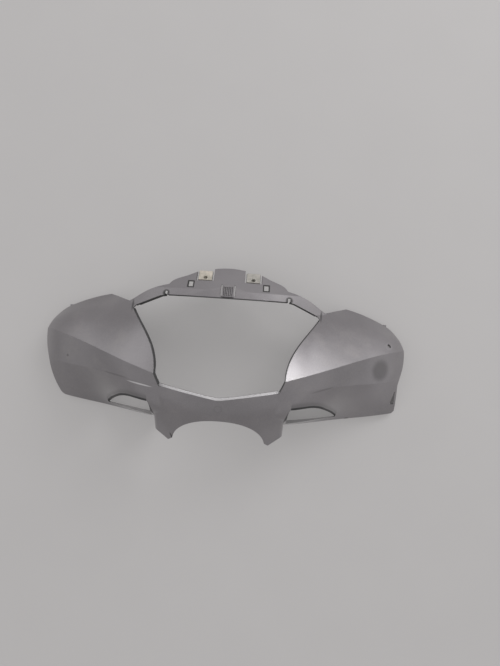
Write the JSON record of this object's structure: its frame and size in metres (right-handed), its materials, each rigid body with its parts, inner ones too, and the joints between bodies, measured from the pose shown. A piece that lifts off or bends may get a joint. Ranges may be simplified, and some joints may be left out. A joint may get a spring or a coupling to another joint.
{
  "type": "handlebar cover panel",
  "caption": "Front cover of a small motorbike's handlebar: painted shell with swept wings around a headlight opening, an arched neck and a top tongue with clip nuts.",
  "frame": {"origin": "middle of the plan, on the plane of the rear rim that the panel lies on", "axes": "+Z out of the face, away from the surface the panel lies on; +X to the viewer's right across the wings; +Y up the face towards the tongue"},
  "size_m": [0.4126, 0.1938, 0.1143],
  "materials": {
    "paint": "glossy metallic grey paint",
    "clip_steel": "dull passivated spring steel"
  },
  "bodies": {
    "root": {"cover_shell": "paint", "left_clip_nut": "clip_steel", "right_clip_nut": "clip_steel"}
  },
  "joints": []
}
